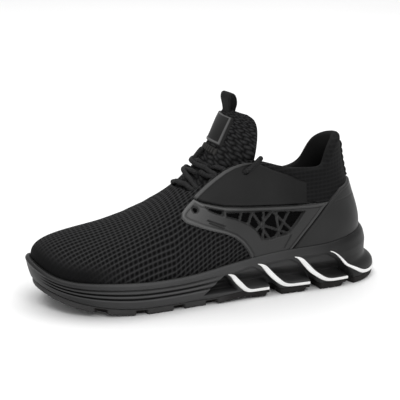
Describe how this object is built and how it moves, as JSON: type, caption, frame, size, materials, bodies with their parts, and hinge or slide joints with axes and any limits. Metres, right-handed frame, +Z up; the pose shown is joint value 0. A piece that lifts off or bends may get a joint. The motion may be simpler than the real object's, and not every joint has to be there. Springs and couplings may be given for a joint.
{
  "type": "safety shoe",
  "caption": "Low black knitted safety shoe for the left foot, with a moulded side cage, laces, and a ribbed sole with white-striped spring leaves at the heel.",
  "frame": {"origin": "under the middle of the sole, on the floor that the shoe stands on", "axes": "+X to the toe, +Y to the outer (lateral) side of this left shoe, +Z up"},
  "size_m": [0.3059, 0.1064, 0.1678],
  "materials": {
    "tread_rubber": "matt, fine tread texture",
    "moulded_sole": "satin moulded rubber, glossy in the hollows between the leaves",
    "insole_cloth": "flat cloth",
    "knit": "waffle knit, dark holes, padded collar in a wavy knit",
    "tongue_knit": "wavy knit",
    "cage_plastic": "satin moulded film with a soft edge",
    "wing_plastic": "smooth satin film with a lighter raised edge at the front",
    "counter_plastic": "smooth satin moulded cup",
    "heel_ribbon": "ribbed band",
    "white_stripe": "glossy white",
    "lace_cord": "round braided cord with a slight sheen",
    "label_rubber": "flat matt patch with a raised border, bare",
    "webbing": "woven band"
  },
  "bodies": {
    "root": {"outsole": "tread_rubber", "midsole": "moulded_sole", "insole": "insole_cloth", "upper": "knit", "tongue": "tongue_knit", "outer_cage": "cage_plastic", "outer_wing": "wing_plastic", "inner_cage": "cage_plastic", "heel_counter": "counter_plastic", "heel_strip": "heel_ribbon", "stripe_outer_1": "white_stripe", "stripe_outer_2": "white_stripe", "stripe_outer_3": "white_stripe", "stripe_inner_1": "white_stripe", "stripe_inner_2": "white_stripe", "stripe_inner_3": "white_stripe", "stripe_heel": "white_stripe", "laces": "lace_cord", "tongue_label": "label_rubber", "lace_keeper": "webbing", "pull_loop": "webbing"}
  },
  "joints": []
}
